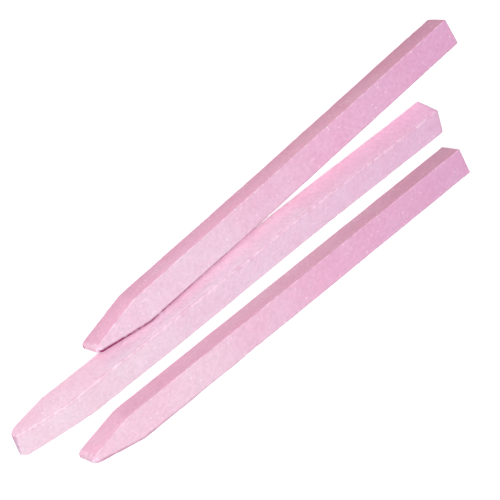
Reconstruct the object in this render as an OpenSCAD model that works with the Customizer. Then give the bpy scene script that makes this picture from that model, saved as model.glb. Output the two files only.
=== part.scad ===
// Set of three pink abrasive sanding sticks.
// Two lie flat on the bench. The middle one is rolled onto one edge and leans on
// the side of the left one. Each stick is one fired bar of bonded grit: square in
// section, with one end ground to a blunt two-sided point.
// Millimetres. X runs from the points to the butts, Y is left, Z is up, and the
// origin is on the bench, near the middle of the set.

/* [Bar] */
// Width across each flat of the square bar
bar_side = 7; // [5:0.5:12]
// Radius worn on the four long edges of the bar
edge_r = 0.3; // [0.1:0.05:0.8]
// Length of the left stick
left_len = 117; // [90:0.5:180]
// Length of the middle stick
middle_len = 128; // [90:0.5:180]
// Length of the right stick
right_len = 118.5; // [90:0.5:180]

/* [Ground point] */
// Width of the blunt end of the point, at half its height
tip_w = 1.45; // [1:0.05:3]
// Lean of the left and right sticks' ground cheeks towards each other, from bottom to top
cheek_lean = 1; // [0.5:0.5:6]
// Lean of the middle stick's ground cheeks towards each other, from bottom to top
middle_cheek_lean = 5; // [0.5:0.5:6]
// Length of the left stick's ground cheek on its outer side
left_cheek_a = 13.8; // [8:0.1:20]
// Length of the left stick's ground cheek beside the middle stick
left_cheek_b = 14; // [8:0.1:20]
// Length of the middle stick's ground cheek that turns up
middle_cheek_a = 15.6; // [8:0.1:20]
// Length of the middle stick's ground cheek that turns to the bench
middle_cheek_b = 12.6; // [8:0.1:20]
// Length of the right stick's ground cheek beside the middle stick
right_cheek_a = 12.3; // [8:0.1:20]
// Length of the right stick's ground cheek on its outer side
right_cheek_b = 12.9; // [8:0.1:20]
// Bulge of the left stick's ground cheeks
left_crown = 0.05; // [0:0.05:0.3]
// Bulge of the middle stick's ground cheeks
middle_crown = 0.1; // [0:0.05:0.3]
// Bulge of the right stick's ground cheeks
right_crown = 0.05; // [0:0.05:0.3]
// Flat left on the top and bottom edges of the ground cheeks
cheek_break = 0.25; // [0.1:0.05:0.6]

/* [Blunt end] */
// Turn of the left and right sticks' blunt ends, seen from above
nose_skew = 9; // [0:1:20]
// Turn of the middle stick's blunt end, seen on the face it is ground from
middle_nose_skew = 5; // [0:1:20]
// Backward lean of the left and right sticks' blunt ends, from bottom to top
nose_angle = 6; // [0:0.5:15]
// Forward lean of the middle stick's blunt end, from bottom to top
middle_nose_angle = 6; // [0:0.5:15]
// Flat left on the upright edges of the blunt end
nose_break = 0.35; // [0.1:0.05:0.6]
// Length of the worn slope on the top edge of the left and right blunt ends
nose_wear = 1.2; // [0.2:0.1:2]
// Length of the worn slope on the top edge of the middle stick's blunt end
middle_nose_wear = 1.6; // [0.2:0.1:2]
// Steepness of the worn slope
wear_angle = 40; // [15:1:60]

/* [Butt] */
// Bevel round the square-cut butts of the left and right sticks
butt_bevel = 0.2; // [0.1:0.05:1]
// Bevel round the worn butt of the middle stick
worn_bevel = 0.5; // [0.1:0.05:1]

/* [Lay on the bench] */
// Roll of the middle stick up from lying flat
lean_angle = 18; // [5:1:40]
// Clearance between the middle stick and the one it leans on
lean_gap = 0.15; // [0.1:0.05:1]
// Distance from the right stick's axis to the middle stick's, at the point
middle_offset = 13.3; // [12:0.1:40]
// How far the middle stick's point lies ahead of the right stick's
middle_ahead = 11.1; // [-20:0.1:30]
// How far the left stick's point lies behind the right stick's
left_behind = 14; // [-10:0.1:30]
// Turn of the middle stick away from the right stick
middle_angle = 0.3; // [0:0.05:8]
// Turn of the left stick away from the middle stick
left_angle = 4.25; // [1:0.05:8]

/* [Hidden] */

half = bar_side / 2;
tip_half = tip_w / 2;
// Straight pieces along a crowned cheek, and the overshoot of cutting blocks
cheek_steps = 14;
over = 5;
pink = [0.93, 0.74, 0.84];

// Yaw of each stick from +X
left_yaw = middle_angle + left_angle;

// Half height of the rolled square with rounded corners, which is its half width too
rolled_half = (half - edge_r) * (cos(lean_angle) + sin(lean_angle)) + edge_r;

// How much wider a leaning cheek stands at the bottom than at half height
function cheek_foot(lean) = half * tan(lean);

// Distance from the axis to a crowned cheek at half height, at x from the blunt end
function cheek_line(x, cheek, crown) =
    tip_half + (half - tip_half) * x / cheek + 4 * crown * (x / cheek) * (1 - x / cheek);

// Slope of a crowned cheek where it meets the flat side
function shoulder_slope(cheek, crown) = (half - tip_half - 4 * crown) / cheek;

// Outline of a crowned cheek seen from above, from the blunt end to the shoulder
function cheek_points(cheek, crown) = [
    for (i = [0:cheek_steps])
        let (x = cheek * i / cheek_steps)
        [x, cheek_line(x, cheek, crown)]
];

// The widest line of a stick's side, along its bottom: the foot of the cheek, then the flat side
function foot_line(cheek, crown, lean) =
    let (foot = cheek_foot(lean))
    concat(
        [for (p = cheek_points(cheek, crown)) if (p.y + foot < half) [p.x, p.y + foot]],
        [[cheek - foot / shoulder_slope(cheek, crown), half]]
    );

// How far an outline reaches sideways, seen along a line turned by the given angle
function side_reach(points, turn) = max([for (p = points) p.y * cos(turn) - p.x * sin(turn)]);

// The middle stick's axis passes through its point and the left stick keeps clear of it
middle_tip = [-middle_ahead, middle_offset];
left_reach = side_reach(foot_line(left_cheek_b, left_crown, cheek_lean), left_angle);
left_beside = rolled_half + lean_gap + left_reach;
left_along = (left_behind + middle_ahead + left_beside * sin(middle_angle)) / cos(middle_angle);
left_tip = middle_tip + [
    left_along * cos(middle_angle) - left_beside * sin(middle_angle),
    left_along * sin(middle_angle) + left_beside * cos(middle_angle)
];

// Outer edges of the whole lay before its ends are worn, which set the origin
lay_x0 = min(0, middle_tip.x, left_tip.x);
lay_x1 = max(
    right_len,
    middle_tip.x + middle_len * cos(middle_angle),
    left_tip.x + left_len * cos(left_yaw) + (half - butt_bevel) * sin(left_yaw)
);
lay_y0 = -half;
lay_y1 = left_tip.y + (left_len - butt_bevel) * sin(left_yaw) + half * cos(left_yaw);
lay_centre = [(lay_x0 + lay_x1) / 2, (lay_y0 + lay_y1) / 2, 0];

// Section of the bar: a square with its corners worn round
module bar_section() {
    square([bar_side - 2 * edge_r, bar_side], center = true);
    square([bar_side, bar_side - 2 * edge_r], center = true);
    for (y = [-1, 1], z = [-1, 1])
        translate([y * (half - edge_r), z * (half - edge_r)])
            circle(r = edge_r, $fn = 32);
}

// Cutting block above a plane that passes through the origin and falls towards +X
module above_slope(fall) {
    block = 3 * bar_side;
    rotate([0, fall, 0])
        translate([-block / 2, -block / 2, 0])
            cube(block);
}

// Everything outside one crowned cheek, which leans in towards the top
// side is 1 for the cheek on +Y and -1 for the one on -Y
module cheek_cut(cheek, crown, lean, side) {
    past = half + shoulder_slope(cheek, crown) * over;
    rotate([side * lean, 0, 0])
        mirror([0, side > 0 ? 0 : 1, 0])
            translate([0, 0, -half - over])
                linear_extrude(bar_side + 2 * over)
                    polygon(concat(
                        [[-over, half + over], [-over, tip_half]],
                        cheek_points(cheek, crown),
                        [[cheek + over, past], [cheek + over, half + over]]
                    ));
}

// Block that takes the sharp edge off one ground cheek, along its top or its bottom
module cheek_edge_cut(cheek, lean, side, top) {
    cheek_angle = atan((half - tip_half) / cheek);
    inset = cheek_break / sqrt(2);
    translate([0, side * (tip_half - top * cheek_foot(lean)), top * half])
        rotate([0, 0, side * cheek_angle])
            rotate([-side * top * 45, 0, 0])
                translate([-over, -over, top > 0 ? -inset : inset - over])
                    cube([cheek + 3 * over, 2 * over, over]);
}

// Everything ahead of the blunt end: its face, its broken upright edges and the slope worn
// on its top edge. skew turns the face seen from above, and tip_back leans it back to the top
module nose_cut(skew, tip_back, wear, foot) {
    face_x = (tip_half + foot) * tan(abs(skew)) + max(0, -bar_side * tan(tip_back));
    top_x = face_x + bar_side * tan(tip_back);
    translate([top_x + wear, 0, half]) rotate([0, 0, skew]) above_slope(-wear_angle);
    translate([face_x, 0, -half])
        rotate([0, tip_back, skew]) {
            above_slope(-90);
            for (side = [-1, 1])
                translate([0, side * tip_half, 0])
                    rotate([0, 0, -side * 45])
                        translate([nose_break / 2, 0, 0])
                            above_slope(-90);
        }
}

// One stick along X, its axis on the X axis and its blunt end at x = 0
// cheek_a is the length of its cheek on +Y and cheek_b of its cheek on -Y, crown their bulge and
// lean how far they lean in to the top
module ground_stick(len, cheek_a, cheek_b, crown, lean, skew, tip_back, wear, bevel) {
    difference() {
        rotate([90, 0, 90]) linear_extrude(len) bar_section();
        cheek_cut(cheek_a, crown, lean, 1);
        cheek_cut(cheek_b, crown, lean, -1);
        for (top = [-1, 1]) {
            cheek_edge_cut(cheek_a, lean, 1, top);
            cheek_edge_cut(cheek_b, lean, -1, top);
        }
        nose_cut(skew, tip_back, wear, cheek_foot(lean));
        for (turn = [0:90:270])
            rotate([turn, 0, 0])
                translate([len - bevel, 0, half])
                    above_slope(45);
    }
}

module left_stick() {
    color(pink)
        translate([left_tip.x, left_tip.y, half] - lay_centre)
            rotate([0, 0, left_yaw])
                ground_stick(
                    left_len, left_cheek_a, left_cheek_b, left_crown, cheek_lean,
                    -nose_skew, nose_angle, nose_wear, butt_bevel
                );
}

module middle_stick() {
    color(pink)
        translate([middle_tip.x, middle_tip.y, rolled_half] - lay_centre)
            rotate([0, 0, middle_angle])
                rotate([lean_angle + 90, 0, 0])
                    ground_stick(
                        middle_len, middle_cheek_a, middle_cheek_b, middle_crown, middle_cheek_lean,
                        middle_nose_skew, -middle_nose_angle, middle_nose_wear, worn_bevel
                    );
}

module right_stick() {
    color(pink)
        translate([0, 0, half] - lay_centre)
            ground_stick(
                right_len, right_cheek_a, right_cheek_b, right_crown, cheek_lean,
                -nose_skew, nose_angle, nose_wear, butt_bevel
            );
}

left_stick();
middle_stick();
right_stick();
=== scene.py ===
# %% [markdown]
# # Three sanding sticks of pink bonded grit
#
# Each stick is one fired bar: grains of pink aluminium oxide held together by a glassy bond, pressed
# to a square section, with one end ground by hand to a blunt two-sided point. Two of the sticks lie
# flat on the bench, and the third is rolled onto one edge and leans on its neighbour.
#
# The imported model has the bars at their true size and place. This script dresses them: it lays a
# finely meshed skin over each bar, with edges worn by handling, and gives the skin the finish of
# fired grit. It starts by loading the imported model, which stays where it is.

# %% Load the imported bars
import math
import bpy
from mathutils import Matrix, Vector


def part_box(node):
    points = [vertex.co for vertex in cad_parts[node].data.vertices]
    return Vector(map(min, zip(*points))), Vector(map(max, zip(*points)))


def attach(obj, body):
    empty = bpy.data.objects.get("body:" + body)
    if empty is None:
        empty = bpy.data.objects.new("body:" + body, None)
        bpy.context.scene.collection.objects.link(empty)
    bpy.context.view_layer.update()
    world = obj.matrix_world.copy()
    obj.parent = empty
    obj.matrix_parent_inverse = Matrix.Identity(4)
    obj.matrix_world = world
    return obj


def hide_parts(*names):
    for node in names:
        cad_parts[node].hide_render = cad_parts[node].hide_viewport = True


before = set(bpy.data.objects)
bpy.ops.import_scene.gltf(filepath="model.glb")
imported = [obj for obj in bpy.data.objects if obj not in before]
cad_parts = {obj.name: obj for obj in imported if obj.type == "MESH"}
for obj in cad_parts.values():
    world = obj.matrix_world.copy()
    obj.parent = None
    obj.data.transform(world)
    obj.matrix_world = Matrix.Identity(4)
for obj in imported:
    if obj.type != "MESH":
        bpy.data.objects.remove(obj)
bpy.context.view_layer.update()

from types import SimpleNamespace

import bpy
import numpy as np
from mathutils import Matrix, Vector

MM = 0.001

# %% [markdown]
# ## The shape of a stick
#
# A real stick is pressed as a plain square bar. The two cheeks of its point, its blunt end and the
# slope on the top edge of that end are flats, ground away one after the other. So the shape is
# described by the bar's width and by the few planes that the grinding left. All three are ground to
# one pattern, and each has its own lengths. A box doesn't say how a bar was ground, so the measures
# of the imported bars are repeated here, in millimetres and degrees, in the stick's own frame: x runs
# from the blunt end, y to the left and z up. The width is read from the flat right bar.
#
# - cheeks: lengths of the ground cheeks on +y and on -y. crown is their bulge, and cheek_lean how far
#   they lean in to the top.
# - skew and tip_back: turn and backward lean of the blunt end. nose_wear is the slope on its top edge.
# - butt_bevel: the bevel at the other end.
# - yaw and roll: how the stick lies.
#
# The rest is what handling and firing add, with one painted shadow, and the imported bars do without it.
#
# - bow: the sideways bend that firing left, which starts at bow_from.
# - painted_edge_shadow: strength of a painted shadow, a dark line along one top edge of the stick.
# - edges: radii of the long edges, in the order +y +z, -y +z, -y -z and +y -z.

# %% Measures of the three sticks
flat_low, flat_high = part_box("right_stick")
BAR = round((flat_high[2] - flat_low[2]) / MM, 2)
HALF = BAR / 2
# Half width of the blunt end, flat broken off its upright edges, and steepness of its worn slope
TIP_HALF = 0.725
NOSE_BREAK = 0.35
WEAR_ANGLE = 40.0

LYING_FLAT = dict(
    roll=0.0, crown=0.05, cheek_lean=1.0, skew=-9.0, tip_back=6.0, nose_wear=1.2, butt_bevel=0.2
)
left = SimpleNamespace(
    node="left_stick", body="left", seed=11, length=117.0, cheeks=(13.8, 14.0), yaw=4.55,
    bow=-0.15, bow_from=14.0, painted_edge_shadow=1.0, edges=(0.14, 0.14, 0.14, 0.25), **LYING_FLAT
)
middle = SimpleNamespace(
    node="middle_stick", body="middle", seed=23, length=128.0, cheeks=(15.6, 12.6), yaw=0.3,
    roll=108.0, crown=0.1, cheek_lean=5.0, skew=5.0, tip_back=-6.0, nose_wear=1.6, butt_bevel=0.5,
    bow=0.35, bow_from=41.0, painted_edge_shadow=0.0, edges=(0.14, 0.3, 0.14, 0.5),
)
right = SimpleNamespace(
    node="right_stick", body="right", seed=37, length=118.5, cheeks=(12.3, 12.9), yaw=0.0,
    bow=0.0, bow_from=0.0, painted_edge_shadow=0.45, edges=(0.14, 0.14, 0.14, 0.14), **LYING_FLAT
)
STICKS = (left, middle, right)
print("width:", BAR, "mm, lengths in widths:", [round(s.length / BAR, 1) for s in STICKS])

# %% [markdown]
# ## Corners that aren't sharp
#
# Bonded grit crumbles a little at every edge, so no corner on a real stick is sharp. A bevel
# modifier would round all edges by one amount. Here the smaller of two distances is taken with its
# corner blended away instead, because that can be done on whole arrays at once and always leaves
# less material, never more: the skin can't stand proud of the bar.

# %% Blended minimum and maximum
def soft_min(a, b, k):
    """The smaller of a and b, less (k - |a - b|)^2 / 4k where they differ by less than k."""
    return np.minimum(a, b) - np.maximum(k - np.abs(a - b), 0.0) ** 2 / (4 * k)


def soft_max(a, b, k):
    """The larger of a and b, plus the same blend where they differ by less than k."""
    return -soft_min(-a, -b, k)


print("soft_min(1, 1, 0.2) =", soft_min(1.0, 1.0, 0.2))

# %% [markdown]
# ## The ground cheeks
#
# Seen from above, a cheek runs from the blunt end out to the flat side in a line with a slight
# bulge, because the stick rocks while it is ground. Seen from the end it leans in towards the top.

# %% Half width of a stick
SHOULDER_BLEND = 0.12


def half_width(stick, x, z, side):
    """Distance from the axis to the side of the stick at x along it and z above its middle.

    A straight line from the tip's half width to the bar's over the cheek's length, plus a parabola
    for the bulge, which runs on straight past the cheek, less the height times the tangent of the
    lean, and never more than the bar's half width. side is +1 or -1 and picks the cheek.
    """
    cheek = np.where(side > 0, stick.cheeks[0], stick.cheeks[1])
    u = x / cheek
    bulge = 4 * stick.crown * np.minimum(u, 1) * (1 - u)
    line = TIP_HALF + (HALF - TIP_HALF) * u + bulge
    return soft_min(line - z * math.tan(math.radians(stick.cheek_lean)), HALF, SHOULDER_BLEND)


for stick in STICKS:
    widths = [float(half_width(stick, x, 0.0, 1)) for x in (0.0, 5.0, 10.0, 20.0)]
    print(stick.node, "half widths at 0, 5, 10, 20 mm:", [round(w, 2) for w in widths])

# %% [markdown]
# ## The blunt end
#
# The end is four planes: the face, the slope worn on its top edge and the breaks on its two upright
# edges. Each plane is a direction and a point. Turning a direction by the skew and the lean gives
# the real plane, as turning the stick against the grinding wheel does.

# %% Planes of the blunt end
NOSE_BLEND = 0.08


def turned(vector, lean, skew):
    """The vector leaned about Y, then turned about Z, by degrees."""
    turn = Matrix.Rotation(math.radians(skew), 3, "Z") @ Matrix.Rotation(math.radians(lean), 3, "Y")
    return turn @ Vector(vector)


def nose_planes(stick):
    """(outward direction, point) of each plane of the blunt end, in the stick's own frame.

    The face stands far enough in for its skewed foot to keep clear of x = 0. From there the slope
    starts at the top, nose_wear behind the face, and the breaks take NOSE_BREAK off the corners.
    """
    foot = TIP_HALF + HALF * math.tan(math.radians(stick.cheek_lean))
    rise = BAR * math.tan(math.radians(stick.tip_back))
    face_x = foot * math.tan(math.radians(abs(stick.skew))) + max(0.0, -rise)
    corner = Vector((face_x, 0.0, -HALF))
    planes = [(turned((-1, 0, 0), stick.tip_back, stick.skew), corner)]
    slope = turned((0, 0, 1), -WEAR_ANGLE, stick.skew)
    planes.append((slope, Vector((face_x + rise + stick.nose_wear, 0.0, HALF))))
    in_by = NOSE_BREAK / 2 * math.sqrt(0.5)
    for side in (1, -1):
        out = (-math.sqrt(0.5), side * math.sqrt(0.5), 0)
        edge = turned((in_by, side * (TIP_HALF - in_by), 0), stick.tip_back, stick.skew)
        planes.append((turned(out, stick.tip_back, stick.skew), corner + edge))
    return planes


def nose_x(stick, y, z):
    """Where the blunt end starts at (y, z): the largest x over its planes, with blended edges.

    A plane with direction n through p is met where n . (q - p) = 0, which is solved for x.
    """
    x = None
    for n, p in nose_planes(stick):
        plane_x = p.x - (n.y * (y - p.y) + n.z * (z - p.z)) / n.x
        x = plane_x if x is None else soft_max(x, plane_x, NOSE_BLEND)
    return x


for stick in STICKS:
    heights = np.array([-3.0, 0.0, 3.0])
    print(stick.node, "starts at x =", np.round(nose_x(stick, 0 * heights, heights), 2))

# %% [markdown]
# ## Wear that differs from place to place
#
# A stick that has been in a drawer has edges rounded more in one place than in another, small nicks,
# and sides that are nearly but not quite flat. Random waves added together give such slow changes:
# they are smooth, they have one typical size, and the same seed always gives the same stick.

# %% Smooth random fields
def ripple(points, size, seed, waves=26):
    """A smooth random field with a typical value of 1: cosine waves in random directions, summed.

    points are in millimetres, in an array whose last axis is x, y, z, and the waves are within a
    third of the given size, in millimetres.
    """
    rng = np.random.default_rng(seed)
    direction = rng.normal(size=(waves, 3))
    direction /= np.linalg.norm(direction, axis=1, keepdims=True)
    wave_numbers = 2 * math.pi * direction / (size * rng.uniform(0.75, 1.33, (waves, 1)))
    phases = rng.uniform(0, 2 * math.pi, waves)
    total = np.zeros(points.shape[:-1])
    for wave_number, phase in zip(wave_numbers, phases):
        total += np.cos(points @ wave_number + phase)
    return total * math.sqrt(2 / waves)


sample = ripple(np.random.default_rng(0).uniform(0, 100, (1000, 3)), 5.0, 1)
print("field spread:", round(float(sample.std()), 2))

# %% [markdown]
# ## Radius of the four long edges
#
# An edge that has been handled is rounder, and grains break out of it one by one, which leaves nicks
# a fraction of a millimetre deep. Both are changes of one number, the edge's radius, so no cutting is
# needed: the section is drawn with a different radius at each place along the stick.

# %% Radius along each long edge
SLOW_WEAR, SLOW_SIZE = 0.04, 14.0
FINE_WEAR, FINE_SIZE = 0.025, 2.4
SLOW_SHIFT = 0.4
NICKS = 9
NICK_LENGTHS = (0.25, 0.9)
NICK_DEPTHS = (0.05, 0.22)
EDGES_APART = 40


def edge_radii(stick, x):
    """Radius of each long edge at x, in an array with one column for each of the four edges.

    The stick's own radius, plus slow and fine wear that only ever add, plus nicks: bell curves, each
    with its own place, length and depth. SLOW_SHIFT makes more of the edge worn than not. The edges
    lie EDGES_APART in the random field, so that no two wear alike.
    """
    rng = np.random.default_rng(stick.seed)
    columns = []
    for edge in range(4):
        line = np.stack([x, 0 * x + EDGES_APART * edge, 0 * x], axis=-1)
        slow = SLOW_WEAR * np.maximum(ripple(line, SLOW_SIZE, stick.seed + edge) + SLOW_SHIFT, 0)
        fine = FINE_WEAR * np.maximum(ripple(line, FINE_SIZE, stick.seed + 10 + edge), 0)
        radius = stick.edges[edge] + slow + fine
        for place in rng.uniform(2, stick.length, NICKS):
            length, depth = rng.uniform(*NICK_LENGTHS), rng.uniform(*NICK_DEPTHS)
            radius = radius + depth * np.exp(-(((x - place) / length) ** 2))
        columns.append(radius)
    return np.stack(columns, axis=-1)


stations = np.linspace(0, left.length, 400)
radii = edge_radii(left, stations)
print("edge radius from", round(float(radii.min()), 2), "to", round(float(radii.max()), 2), "mm")

# %% [markdown]
# ## A skin as a grid
#
# The skin is a grid with one direction along the stick and the other round its section. The section
# is a square with round corners, so each point on it is a share of the way to a corner plus the
# corner's radius in the direction that the surface faces. Both ends close with rings that shrink to
# a single point, and a quarter circle joins them to the sides.

# %% One turn round the section
FLAT_STEPS = 35
ARC_STEPS = 6


def section_turn():
    """Arrays for one turn: share of the way to the corner, facing direction, weight of each edge.

    The first two are complex numbers, with y as the real part and z as the imaginary part. A corner
    at (1, 1) and the flat that follows it are worked out once and turned four times by 90 degrees.
    """
    arc = np.linspace(0, math.pi / 2, ARC_STEPS + 1)
    flat = np.arange(1, FLAT_STEPS) / FLAT_STEPS
    share = np.concatenate([np.full(arc.size, 1 + 1j), (1 - 2 * flat) + 1j])
    facing = np.concatenate([np.exp(1j * arc), np.full(flat.size, 1j)])
    ahead = np.concatenate([np.zeros(arc.size), flat])
    shares, facings, weights = [], [], []
    for corner in range(4):
        shares.append(share * 1j**corner)
        facings.append(facing * 1j**corner)
        weight = np.zeros((share.size, 4))
        weight[:, corner] = 1 - ahead
        weight[:, (corner + 1) % 4] = ahead
        weights.append(weight)
    return np.concatenate(shares), np.concatenate(facings), np.concatenate(weights)


share, facing, edge_weight = section_turn()
print("points round the section:", share.size)

# %% [markdown]
# ## Rings along the stick
#
# The rings are evenly spaced along the body, a quarter of a millimetre apart, which is close enough
# for the waves and nicks to show in the mesh itself. At each end they crowd together round the rim.

# %% Rings along the stick
BODY_RINGS = 500
CAP_RINGS = 15
RIM_RINGS = 6
NOSE_RIM = 0.10
BUTT_ROUNDING = 1.7


def ring_stations(stick):
    """For each ring: distance from the blunt end, inset from the sides and size, as columns.

    Cap rings grow from nothing to full size at the end's inset. Rim rings follow a quarter circle:
    the inset is r (1 - sin a) and the distance r (1 - cos a). Body rings are evenly spaced. At the
    butt the circle's radius is BUTT_ROUNDING bevels, so that it passes just inside the bar's bevel.
    """
    butt_rim = BUTT_ROUNDING * stick.butt_bevel
    growing = np.linspace(0, 1, CAP_RINGS + 1)[1:]
    angle = np.linspace(0, math.pi / 2, RIM_RINGS + 1)[1:]
    inset, run = 1 - np.sin(angle), 1 - np.cos(angle)
    body = np.linspace(NOSE_RIM, stick.length - butt_rim, BODY_RINGS + 2)[1:-1]
    parts = [
        (0 * growing, 0 * growing + NOSE_RIM, growing),
        (NOSE_RIM * run, NOSE_RIM * inset, 1 + 0 * run),
        (body, 0 * body, 1 + 0 * body),
        (stick.length - butt_rim * run[::-1], butt_rim * inset[::-1], 1 + 0 * run),
        (0 * growing + stick.length, 0 * growing + butt_rim, growing[::-1]),
    ]
    return [np.concatenate(column)[:, None] for column in zip(*parts)]


print("rings on a stick:", ring_stations(left)[0].size)

# %% [markdown]
# ## The smooth skin
#
# Rings cut straight across the stick would meet its slanted blunt end badly. So the first rings lie
# along that end, and over the next few millimetres they turn square to the stick. The width of the
# stick depends on x, and the slant on y and z, so a few rounds of both settle to one answer.

# %% The smooth skin
NOSE_FADE = 12.0
SETTLING_ROUNDS = 5
LEAST_RADIUS = 0.03
MOST_ROUNDING = 0.6
EDGE_FADE = 0.28
END_FADE = 0.3


def smooth_skin(stick):
    """Points of the skin before its small unevenness, as an array (rings, turn, 3), and how worn.

    x is the ring's distance plus the start of the blunt end, which fades out over NOSE_FADE. y and z
    are the share of the way to the corner plus the corner's radius in the facing direction, and that
    radius is at most MOST_ROUNDING of the half width. How worn a point is falls off as
    exp(-distance / fade) from the nearest long edge or end.
    """
    distance, inset, size = ring_stations(stick)
    side = np.where(share.real >= 0, 1, -1)[None, :]
    radius = edge_radii(stick, distance[:, 0]) @ edge_weight.T
    radius = np.maximum(radius - inset, LEAST_RADIUS)
    slant = np.clip(1 - distance / NOSE_FADE, 0, 1)
    z = size * (share.imag * (HALF - inset - radius) + radius * facing.imag)
    x = distance + 0 * z
    for _ in range(SETTLING_ROUNDS):
        width = half_width(stick, x, z, side) - inset
        corner = np.minimum(radius, MOST_ROUNDING * width)
        y = size * (share.real * (width - corner) + corner * facing.real)
        x = distance + slant * nose_x(stick, y, z)
    to_edge = np.maximum(
        (1 - np.abs(share.real)) * np.maximum(width - radius, 0),
        (1 - np.abs(share.imag)) * (HALF - radius),
    )
    to_end = np.minimum(distance, stick.length - distance) + (1 - size) * TIP_HALF
    worn = np.maximum(np.exp(-to_edge / EDGE_FADE), np.exp(-to_end / END_FADE))
    return np.stack([x, y, z], axis=-1), worn


points, worn = smooth_skin(right)
print("skin grid:", points.shape[:2], "span", np.round(np.ptp(points, axis=(0, 1)), 2), "mm")

# %% [markdown]
# ## Unevenness of the fired surface
#
# Firing leaves the sides a little hollow and wavy, and grains stand out as fine roughness. The skin
# is pushed inwards along its own facing direction by waves of four sizes. It is only pushed in, so
# it keeps within the bar. Grains finer than the mesh are left to the material.

# %% Push the skin inwards
HOLLOW_DEPTH = 0.02
HOLLOW_SIZE = 26.0
WAVES = ((0.010, 4.5), (0.006, 1.3), (0.006, 0.6))
INWARDS = 1.2


def facing_out(points):
    """Unit direction that the grid faces at each point: the cross product of its two slopes."""
    along = np.gradient(points, axis=0)
    around = np.roll(points, -1, axis=1) - np.roll(points, 1, axis=1)
    normal = np.cross(around, along)
    return normal / np.maximum(np.linalg.norm(normal, axis=-1, keepdims=True), 1e-12)


def weathered(stick, points):
    """The points moved inwards, and by how much: a hollow of each side plus waves, never below 0.

    The hollow is the size of a random field twice as wide as it is long. Each of the WAVES has a
    depth and a size in millimetres, and INWARDS is added to its field so that most of it lies inwards.
    """
    depth = HOLLOW_DEPTH * np.abs(ripple(points * [1, 0.5, 0.5], HOLLOW_SIZE, stick.seed + 50))
    for number, (deep, size) in enumerate(WAVES, 51):
        depth = depth + deep * (ripple(points, size, stick.seed + number) + INWARDS)
    depth = np.maximum(depth, 0)
    return points - facing_out(points) * depth[..., None], depth


_, depth = weathered(right, points)
print("pushed in by", np.round([depth.min(), depth.mean(), depth.max()], 3), "mm")

# %% [markdown]
# ## From grid to mesh
#
# The grid's points go into a mesh with foreach_set, which takes whole arrays. Each ring is joined to
# the next with four-sided faces, and a fan of triangles joins the first and last rings to the tips.
# What the material has to know about the shape, such as how worn a place is, is stored at each point
# under a name.

# %% Build a closed mesh
def grid_faces(rings, turn):
    """Corner numbers of the four-sided faces and of the two fans that close the ends."""
    ring = np.arange(rings - 1)[:, None] * turn
    step = np.arange(turn)[None, :]
    beside = (step + 1) % turn
    quads = np.stack([ring + step, ring + beside, ring + turn + beside, ring + turn + step], axis=-1)
    first, last = rings * turn, rings * turn + 1
    end = (rings - 1) * turn
    start_fan = np.stack([0 * step + first, beside, step], axis=-1).reshape(-1, 3)
    end_fan = np.stack([0 * step + last, end + step, end + beside], axis=-1).reshape(-1, 3)
    return quads.reshape(-1, 4), np.concatenate([start_fan, end_fan])


def make_mesh(name, points, values):
    """A closed, smooth-shaded mesh of the grid, with each array of values as a point attribute."""
    rings, turn = points.shape[:2]
    quads, fans = grid_faces(rings, turn)
    ends = points[[0, -1]].mean(axis=1)
    vertices = np.concatenate([points.reshape(-1, 3), ends])
    mesh = bpy.data.meshes.new(name)
    mesh.vertices.add(len(vertices))
    mesh.vertices.foreach_set("co", vertices.ravel())
    corners = np.concatenate([quads.ravel(), fans.ravel()])
    starts = np.concatenate([np.arange(len(quads)) * 4, quads.size + np.arange(len(fans)) * 3])
    mesh.loops.add(len(corners))
    mesh.loops.foreach_set("vertex_index", corners)
    mesh.polygons.add(len(starts))
    mesh.polygons.foreach_set("loop_start", starts)
    mesh.polygons.foreach_set("use_smooth", np.ones(len(starts), dtype=bool))
    for key, value in values.items():
        whole = np.concatenate([value.ravel(), value[[0, -1]].mean(axis=1)])
        attribute = mesh.attributes.new(key, "FLOAT", "POINT")
        attribute.data.foreach_set("value", whole.astype(np.float32))
    mesh.update(calc_edges=True)
    mesh.validate()
    return mesh


quads, fans = grid_faces(*points.shape[:2])
print("triangles on a stick:", 2 * len(quads) + len(fans))

# %% [markdown]
# ## Lay each skin on its bar
#
# A skin is made along X and then turned as its bar is turned. Where it lies isn't written down a
# second time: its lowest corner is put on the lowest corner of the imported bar's box. The object
# stays at the origin and the place goes into the mesh, so the pattern doesn't slide on the piece.
# A long thin bar also bends a little in the kiln, by a fraction of a millimetre.

# %% Bend, turn and place a skin
def bowed(stick, points):
    """The points moved sideways by the bend that firing left: bow times sin squared, from bow_from on."""
    start = stick.bow_from
    share_along = np.clip((points[..., 0] - start) / (stick.length - start), 0, 1)
    bend = stick.bow * np.sin(math.pi * share_along) ** 2
    roll = math.radians(stick.roll)
    sideways = np.array([0, math.cos(roll), -math.sin(roll)])
    return points + bend[..., None] * sideways


def placed(stick, points, smooth):
    """The points turned by the stick's roll and yaw, and moved so that the smooth skin meets the bar."""
    roll = Matrix.Rotation(math.radians(stick.roll), 3, "X")
    yaw = Matrix.Rotation(math.radians(stick.yaw), 3, "Z")
    turn = np.array(yaw @ roll).T
    low = np.array(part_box(stick.node)[0])
    shift = low - (smooth @ turn * MM).min(axis=(0, 1))
    return points @ turn * MM + shift


lowest = placed(right, points, points).min(axis=(0, 1)) / MM
print("lowest corner of the right skin:", np.round(lowest, 2), "mm")

# %% [markdown]
# ## Painted shadow line and rubbed corners
#
# A dark line along one top edge of a stick, widest and darkest at the point, and a patch under the
# blunt end there are painted shadow: shade beside that edge and under the end, drawn as a colour. One
# corner of the blunt end gets rubbed pale where the stick is set down on it. Both could be painted by
# hand. Here they are worked out from the shape, so they stay on their edges.

# %% Where the painted shadow lies and corners are rubbed
SHADOW_LINE_WIDTH = 0.2
SHADOW_SPREAD, SPREAD_REACH = 1.5, 22
SHADOW_LEAST, SHADOW_REACH = 0.25, 48
BREAK_SIZE, BREAK_DEPTH = 1.6, 0.2
UNDER_REACH = 0.3
NOSE_REACH = 6.0


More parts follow.
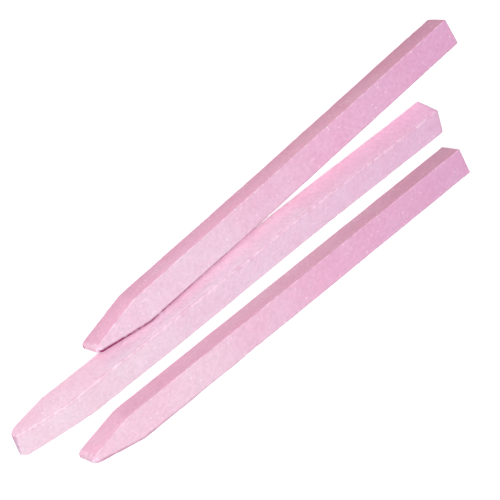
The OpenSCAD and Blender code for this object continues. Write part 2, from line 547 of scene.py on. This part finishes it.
def fade(value, full, none):
    """1 where value is at full or past it, 0 at none, and a straight line between the two."""
    return np.clip((none - value) / (none - full), 0, 1)


def painted_edge_shadow(stick, points):
    """How strong the painted shadow is at each point: a line on the top edge on -Y, and under the end
    there.

    It is full up to 0.8 widths from the edge and gone at 1.8. The width grows by SHADOW_SPREAD towards
    the blunt end, and the shadow thins out to SHADOW_LEAST along the stick, both as bell curves with
    their own reach. Small waves, BREAK_SIZE long, break it up by about BREAK_DEPTH.
    """
    x, y, z = points[..., 0], points[..., 1], points[..., 2]
    to_side = y + half_width(stick, x, z, -1)
    width = SHADOW_LINE_WIDTH * (1 + SHADOW_SPREAD * np.exp(-((x / SPREAD_REACH) ** 2)))
    line = fade(np.maximum(to_side, HALF - z) / width, 0.8, 1.8)
    under = fade(np.maximum(x - NOSE_RIM, z + HALF) / width, 0.8, 1.8) * (y < UNDER_REACH)
    thinning = SHADOW_LEAST + (1 - SHADOW_LEAST) * np.exp(-((x / SHADOW_REACH) ** 2))
    broken = np.clip(0.95 + BREAK_DEPTH * ripple(points, BREAK_SIZE, stick.seed + 60), 0, 1)
    return stick.painted_edge_shadow * np.maximum(line, under) * thinning * broken


def rubbed_corner(points, normal):
    """How rubbed each point is: 1 on the -Y half of the slope above the blunt end.

    The slope faces both up and along the stick, so the product of those two parts of its facing
    direction is large there, and near nothing on the top and on the end.
    """
    sloping = fade(np.abs(normal[..., 0]) * normal[..., 2], 0.5, 0.19)
    one_side = fade(points[..., 1], -0.42, 0.42)
    return sloping * one_side * (points[..., 0] < NOSE_REACH)


shadowed = painted_edge_shadow(left, smooth_skin(left)[0]) > 0.1
print("share of the left skin with dust:", round(float(shadowed.mean()), 3))

# %% [markdown]
# ## The three skins
#
# Each skin rides on the body of its bar and stands for it. Besides a painted shadow line, rubbing and
# wear, the skin stores how far along the stick a point is, how high it stands on it, and how far it
# faces to the left or endwise, once the stick lies as it does.

# %% Make the skins
def make_skin(stick):
    """The finished skin object of a stick, riding on its body in place of the bar."""
    smooth, worn = smooth_skin(stick)
    points, _ = weathered(stick, smooth)
    normal = facing_out(smooth)
    across, up = math.cos(math.radians(stick.roll)), math.sin(math.radians(stick.roll))
    values = {
        "along": smooth[..., 0] / stick.length,
        "height": (smooth[..., 1] * up + smooth[..., 2] * across) / BAR + 0.5,
        "leftward": normal[..., 1] * across - normal[..., 2] * up,
        "endwise": np.abs(normal[..., 0]),
        "worn": worn,
        "rubbed": rubbed_corner(smooth, normal),
        # painted shadow line, stored for the material
        "painted_edge_shadow": painted_edge_shadow(stick, smooth),
    }
    mesh = make_mesh(stick.node + "_skin", placed(stick, bowed(stick, points), smooth), values)
    skin = bpy.data.objects.new(stick.node + "_skin", mesh)
    bpy.context.scene.collection.objects.link(skin)
    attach(skin, stick.body)
    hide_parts(stick.node)
    low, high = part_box(stick.node)
    corners = np.array(skin.bound_box)
    over = np.maximum(corners.max(0) - np.array(high), np.array(low) - corners.min(0)) / MM
    print(stick.node, "skin past the bar's box by", np.round(over, 3), "mm")
    return skin


skins = {stick.body: make_skin(stick) for stick in STICKS}

# %% [markdown]
# ## Helpers for materials
#
# Colours are written as sRGB hex values, as a paint chart gives them. Blender mixes in linear light,
# so one function converts them. A second one adds a node with its settings and links in one call.

# %% Colour and node helpers
def linear(hex_colour):
    """An sRGB hex colour as linear RGBA."""
    channels = [int(hex_colour[i : i + 2], 16) / 255 for i in (1, 3, 5)]
    return [c / 12.92 if c <= 0.04045 else ((c + 0.055) / 1.055) ** 2.4 for c in channels] + [1.0]


def add_node(tree, kind, settings=None, inputs=None):
    """A node of the given kind. An input is a value, or another node's output to link from."""
    node = tree.nodes.new("ShaderNode" + kind)
    for key, value in (settings or {}).items():
        setattr(node, key, value)
    for key, value in (inputs or {}).items():
        if isinstance(value, bpy.types.NodeSocket):
            tree.links.new(value, node.inputs[key])
        else:
            node.inputs[key].default_value = value
    return node


def empty_material(name):
    """A material with an empty node tree and its output node."""
    material = bpy.data.materials.new(name)
    material.use_nodes = True
    material.node_tree.nodes.clear()
    return material, material.node_tree, add_node(material.node_tree, "OutputMaterial")


print("pale pink in linear light:", [round(c, 3) for c in linear("#f6ccdf")])

# %% [markdown]
# ## Where a finish shows
#
# A finish needs a mask: a number from 0, where it is absent, to 1. Here a mask is a number stored on
# the skin, or soft blotches, or round grains, and each is carried from a range of its own to the
# mask's. Patterns are placed in the object's own metres, so their sizes are real ones.

# %% Masks
def marked(tree, name, low, high, most=1.0):
    """Mask from the number stored on the skin under this name: 0 at low, most at high."""
    number = add_node(tree, "Attribute", {"attribute_name": name}).outputs["Fac"]
    spread = {"Value": number, "From Min": low, "From Max": high, "To Max": most}
    return add_node(tree, "MapRange", {}, spread).outputs["Result"]


def blotches(tree, size_mm, detail, low, high):
    """Mask of soft blotches of about size_mm: noise, 0 where it is at low and 1 at high."""
    place = add_node(tree, "TexCoord").outputs["Object"]
    inputs = {"Vector": place, "Scale": 1 / (size_mm * MM), "Detail": detail, "Roughness": 0.55}
    noise = add_node(tree, "TexNoise", {}, inputs).outputs["Fac"]
    spread = {"Value": noise, "From Min": low, "From Max": high}
    return add_node(tree, "MapRange", {}, spread).outputs["Result"]


def grains(tree, spacing_mm, rim, core, most):
    """Mask of round grains spacing_mm apart: 0 at rim, a share of the spacing, and most in the core."""
    place = add_node(tree, "TexCoord").outputs["Object"]
    cells = add_node(tree, "TexVoronoi", {}, {"Vector": place, "Scale": 1 / (spacing_mm * MM)})
    spread = {"Value": cells.outputs["Distance"], "From Min": rim, "From Max": core, "To Max": most}
    return add_node(tree, "MapRange", {}, spread).outputs["Result"]


print("blotches of 2.4 mm have a scale of", round(1 / (2.4 * MM)), "to the metre")

# %% [markdown]
# ## Layers and shades
#
# A finish is built up as a painter would: a ground colour, and thin layers over it, each with a mask.
# The ground itself isn't one colour: it is deeper towards the butt and paler towards the points,
# partly as painted light that falls off along the stick. The shade runs along the stick through a few
# colours, each at its place.

# %% Layers and shades
def layered(tree, colour, layers):
    """The colour with layers laid over it in turn, each a mask, a colour and a way to blend."""
    for mask, over, blend in layers:
        settings = {"data_type": "RGBA", "blend_type": blend}
        # A Mix node for colours takes its factor at 0 and its colours at 6 and 7, and gives one at 2
        colour = add_node(tree, "Mix", settings, {0: mask, 6: colour, 7: over}).outputs[2]
    return colour


def lengthwise(tree, shades):
    """A colour that runs along the stick through shades, each kept under its share of the length."""
    along = add_node(tree, "Attribute", {"attribute_name": "along"}).outputs["Fac"]
    node = add_node(tree, "ValToRGB", {}, {"Fac": along})
    stops = node.color_ramp.elements
    for place in sorted(shades)[1:-1]:
        stops.new(place)
    for stop, place in zip(stops, sorted(shades)):
        stop.position = place
        stop.color = linear(shades[place])
    return node.outputs["Color"]


def tried(build, *shades):
    """How many nodes a finish takes, counted on a material that is thrown away afterwards."""
    material, tree, _ = empty_material("trial")
    build(tree, *shades)
    count = len(tree.nodes)
    bpy.data.materials.remove(material)
    return count


print("a shade that runs takes", tried(lengthwise, {0.2: "#dabdce", 0.9: "#d6a4c5"}), "nodes")

# %% [markdown]
# ## Fired pink grit
#
# The sticks are pink fused aluminium oxide in a vitrified bond: translucent grains fused at their
# corners and fired to a dry, matt stone. The eye sees a soft pale pink with no shine. Each kind of
# face has its own shade, which stands for painted light and shade as well as for the grit's colour:
# the faces that turn up are cooler and more lavender than the sides, and the sides are painted darker
# towards their foot. The middle stick's left side is made paler from a quarter of its length on, to
# make up for the shade of the stick beside it.

# %% Ground colour
def ground_colour(tree, shades):
    """Shades of the faces that turn up, with those of the two sides and of the ends laid over them."""
    # Painted shade: the foot shade is multiplied on the sides, darker towards their bottom, to even out
    # how light falls on them
    painted_foot_shade_mask = marked(tree, "height", 0.1, 0.9)
    foot = layered(tree, linear(shades.foot), [(painted_foot_shade_mask, linear("#ffffff"), "MIX")])
    left_side = layered(tree, lengthwise(tree, shades.left_side), [(1.0, foot, "MULTIPLY")])
    right_side = layered(tree, lengthwise(tree, shades.right_side), [(1.0, foot, "MULTIPLY")])
    ends = lengthwise(tree, {0.3: shades.nose, 0.6: shades.butt})
    return layered(
        tree,
        lengthwise(tree, shades.up),
        [
            (marked(tree, "leftward", 0.70, 0.93), left_side, "MIX"),
            (marked(tree, "leftward", -0.70, -0.93), right_side, "MIX"),
            (marked(tree, "endwise", 0.5, 0.8), ends, "MIX"),
            (marked(tree, "rubbed", 0.0, 1.0, most=0.6), linear("#e9e2f2"), "MIX"),
        ],
    )


# Shades are kept under their share of the length. Each kind of face has its own, and they stand for
# painted light and shade as well as for the grit's colour. foot is a painted shade that darkens the
# sides at the bottom, and edge is laid over the very edges, on the middle stick as a painted shade
LEFT_STICK_SIDE = {0.3: "#e3adc6", 0.6: "#dba4b9", 0.95: "#ce96ad"}
RIGHT_STICK_SIDE = {0.15: "#f6cae0", 0.3: "#f3c4da", 0.6: "#ebc2d4", 0.95: "#dfadc2"}
# Painted light and shade: each face's shades were set so that it comes out as bright as it was lit
SHADES = {
    "left": SimpleNamespace(
        up={0.3: "#dabdce", 0.6: "#dbaac6", 0.95: "#d6a4c5"},
        left_side=LEFT_STICK_SIDE, right_side=LEFT_STICK_SIDE,
        nose="#d7adbf", butt="#e3acc5", foot="#f0f0f0", edge="#ffffff",
    ),
    "middle": SimpleNamespace(
        up={0.15: "#e6cddb", 0.6: "#e8c7dd", 0.95: "#e6bcd9"},
        left_side={0.17: "#e3c3d4", 0.27: "#f9e3f4", 0.6: "#fbdff1", 0.95: "#fcccea"},
        right_side={0.15: "#e8c8d8", 0.3: "#f3d2e4", 0.6: "#f2cde0", 0.95: "#eec0d8"},
        nose="#ba9fb4", butt="#e9bcd3", foot="#fbf5f6", edge="#f7f5f4",
    ),
    "right": SimpleNamespace(
        up={0.3: "#ddbdce", 0.6: "#dbaac6", 0.95: "#d6a4c5"},
        left_side=RIGHT_STICK_SIDE, right_side=RIGHT_STICK_SIDE,
        nose="#d5b1c3", butt="#f1c2d7", foot="#dcdcdc", edge="#ffffff",
    ),
}
print("ground colour takes", tried(ground_colour, SHADES["left"]), "nodes")

# %% [markdown]
# ## Clouds, chips and speckles
#
# Grit of this kind has grains of a tenth to a fifth of a millimetre. They are too fine to show at the
# size that the sticks are seen at, so they are drawn as they clump: mottling of 0.8 mm, clouds of a
# warmer pink of 2.4 mm, and broad patches of 9 mm. White grains and grey pores stand 1.3 and 1.7 mm
# apart, only in places, because the bond isn't mixed evenly. Edges are paler where rubbing has left
# fresh grain, and darker where a grain has broken out.

# %% Clouds, chips and speckles
def clouded(tree, colour):
    """Clouds of a warmer pink, broad patches, and mottling in tone alone."""
    return layered(
        tree,
        colour,
        [
            (blotches(tree, 2.4, detail=2.0, low=0.35, high=0.65), linear("#fffafc"), "MULTIPLY"),
            (blotches(tree, 9.0, detail=1.0, low=0.35, high=0.65), linear("#fff8fa"), "MULTIPLY"),
            (blotches(tree, 0.8, detail=4.0, low=0.3, high=0.7), linear("#f0f0f0"), "MULTIPLY"),
        ],
    )


def chipped(tree, colour, edge_colour):
    """Chips of 1.3 mm near the edges, and on the very edge a painted shade of its own, which dims the
    light a ridge catches.
    """
    fresh = (blotches(tree, 1.3, detail=3.0, low=0.40, high=0.62), linear("#f0d2e3"), "MIX")
    chips = layered(tree, linear("#c98dab"), [fresh])
    return layered(
        tree,
        colour,
        [
            (marked(tree, "worn", 0.35, 1.0, most=0.30), chips, "MIX"),
            # Painted shade on the very edge: it dims the light line that the middle stick's ridge catches
            (marked(tree, "worn", 0.8, 1.0), linear(edge_colour), "MULTIPLY"),
        ],
    )


def speckled(tree, colour):
    """White grains and grey pores, in clusters of about 4 mm."""
    white_grain = (grains(tree, 1.3, rim=0.20, core=0.08, most=0.36), linear("#ffffff"), "MIX")
    grey_pore = (grains(tree, 1.7, rim=0.15, core=0.06, most=0.30), linear("#a88ba0"), "MIX")
    speckles = layered(tree, colour, [white_grain, grey_pore])
    clusters = blotches(tree, 4.0, detail=1.0, low=0.42, high=0.62)
    return layered(tree, colour, [(clusters, speckles, "MIX")])


pale = linear("#f6ccdf")
print("clouds take", tried(clouded, pale), "nodes, chips", tried(chipped, pale, "#ffffff"), "nodes")
print("speckles take", tried(speckled, pale), "nodes")

# %% [markdown]
# ## One material for each stick
#
# The three sticks differ a little in shade, most of it painted light and shade that differs from
# stick to stick, so each has its own material, made by one function. The bar is dry and porous. It is
# rough, with the index of a glassy bond, and has little of its shine, because the pores break up the
# reflection. Grains of 0.4 mm stand out in the bump, coarser than the real ones so that they show.

# %% Grit materials
RELIEF = 0.02 * MM


def make_grit(name, shades):
    """Vitrified pink grit: the ground colour with its painted shades, then clouds, chips, speckles and a
    painted shadow line.
    """
    material, tree, output = empty_material(name)
    colour = clouded(tree, ground_colour(tree, shades))
    colour = speckled(tree, chipped(tree, colour, shades.edge))
    # A dark plum line of painted shadow, along one top edge and under the blunt end
    painted_shadow = (marked(tree, "painted_edge_shadow", 0.0, 1.0), linear("#7c0a4a"), "MIX")
    fine = blotches(tree, 0.4, detail=3.0, low=0.0, high=1.0)
    bump = add_node(tree, "Bump", {}, {"Strength": 0.25, "Distance": RELIEF, "Height": fine})
    inputs = {
        "Base Color": layered(tree, colour, [painted_shadow]),
        "Roughness": 0.82,
        "IOR": 1.6,
        "Specular IOR Level": 0.3,
        "Normal": bump.outputs["Normal"],
    }
    shader = add_node(tree, "BsdfPrincipled", {}, inputs)
    tree.links.new(shader.outputs["BSDF"], output.inputs["Surface"])
    return material


for body, skin in skins.items():
    grit = make_grit("vitrified_pink_alumina_" + body, SHADES[body])
    skin.data.materials.append(grit)
    print(grit.name, "has", len(grit.node_tree.nodes), "nodes")

# %% [markdown]
# ## Bench
#
# The sticks are shown as in a catalogue: on white, so that only the narrow gaps between them are
# dark. A painted board would turn grey in their shade. An opal glass table lit from below doesn't,
# so the bench is one large flat sheet that glows a little.

# %% Bench
BENCH_REACH = 3.0
BENCH_TOP = -0.02 * MM


def make_bench():
    """A large flat sheet just under the sticks: a square with its four corners at BENCH_REACH."""
    turns = ((-1, -1), (1, -1), (1, 1), (-1, 1))
    corners = [(BENCH_REACH * x, BENCH_REACH * y, BENCH_TOP) for x, y in turns]
    mesh = bpy.data.meshes.new("bench")
    mesh.from_pydata(corners, [], [(0, 1, 2, 3)])
    bench = bpy.data.objects.new("bench", mesh)
    bpy.context.scene.collection.objects.link(bench)
    material, tree, output = empty_material("opal_glass_bench")
    inputs = {
        "Base Color": linear("#bcbcbc"),
        "Roughness": 0.9,
        "Emission Color": linear("#ffffff"),
        "Emission Strength": 0.62,
    }
    shader = add_node(tree, "BsdfPrincipled", {}, inputs)
    tree.links.new(shader.outputs["BSDF"], output.inputs["Surface"])
    mesh.materials.append(material)
    return bench


bench = make_bench()
print("bench is", [round(d, 1) for d in bench.dimensions], "m")

# %% [markdown]
# ## Light
#
# Grit has no shine to catch, so its relief shows only where light falls on it at a slant. One small
# lamp would do that with hard shadows, so the main light is a large one, high up, ahead of the
# points and to their left. A weak one to their right fills the far sides, with a little light from
# the whole room.

# %% Lamps
LAMP_WIDTH = 0.5
ROOM_LIGHT = 0.1


def make_lamp(name, place, power):
    """A square soft lamp at place, LAMP_WIDTH wide, turned to the middle of the sticks."""
    lamp = bpy.data.lights.new(name, "AREA")
    lamp.shape = "SQUARE"
    lamp.size = LAMP_WIDTH
    lamp.energy = power
    holder = bpy.data.objects.new(name, lamp)
    holder.location = place
    holder.rotation_euler = (-Vector(place)).to_track_quat("-Z", "Y").to_euler()
    bpy.context.scene.collection.objects.link(holder)
    return holder


make_lamp("main_lamp", place=(-0.25, 0.20, 0.60), power=6.6)
make_lamp("right_lamp", place=(-0.30, -0.10, 0.62), power=0.6)

world = bpy.data.worlds.new("soft_room")
world.use_nodes = True
room = world.node_tree.nodes["Background"]
room.inputs["Color"].default_value = linear("#ffffff")
room.inputs["Strength"].default_value = ROOM_LIGHT
bpy.context.scene.world = world
bpy.context.scene.view_settings.view_transform = "Standard"

# %% [markdown]
# ## Camera
#
# The sticks are seen from ahead of their points, from high up and to the left, with the camera
# rolled so that they run from the lower left to the upper right. A long lens keeps the bars nearly
# parallel.

# %% Camera
CAMERA_PLACE = Vector((-0.10877, 0.12823, 0.27946))
CAMERA_AIM = Vector((0.0, -0.00103, 0.0))
CAMERA_ROLL = -106.079
CAMERA_LENS = 100.8


def camera_turn(place, aim, roll):
    """Columns right, up and back of a camera at place that looks at aim, rolled from level by degrees."""
    back = (place - aim).normalized()
    level_right = Vector((0, 0, 1)).cross(back).normalized()
    level_up = back.cross(level_right)
    a = math.radians(roll)
    up = level_up * math.cos(a) + level_right * math.sin(a)
    return Matrix([up.cross(back), up, back]).transposed()


camera_data = bpy.data.cameras.new("camera")
camera_data.lens = CAMERA_LENS
camera_data.sensor_width = 36.0
camera_data.clip_start = 0.01
camera = bpy.data.objects.new("camera", camera_data)
camera.matrix_world = Matrix.Translation(CAMERA_PLACE) @ camera_turn(
    CAMERA_PLACE, CAMERA_AIM, CAMERA_ROLL
).to_4x4()
bpy.context.scene.collection.objects.link(camera)
bpy.context.scene.camera = camera
print("camera is", round((CAMERA_PLACE - CAMERA_AIM).length / MM), "mm away")
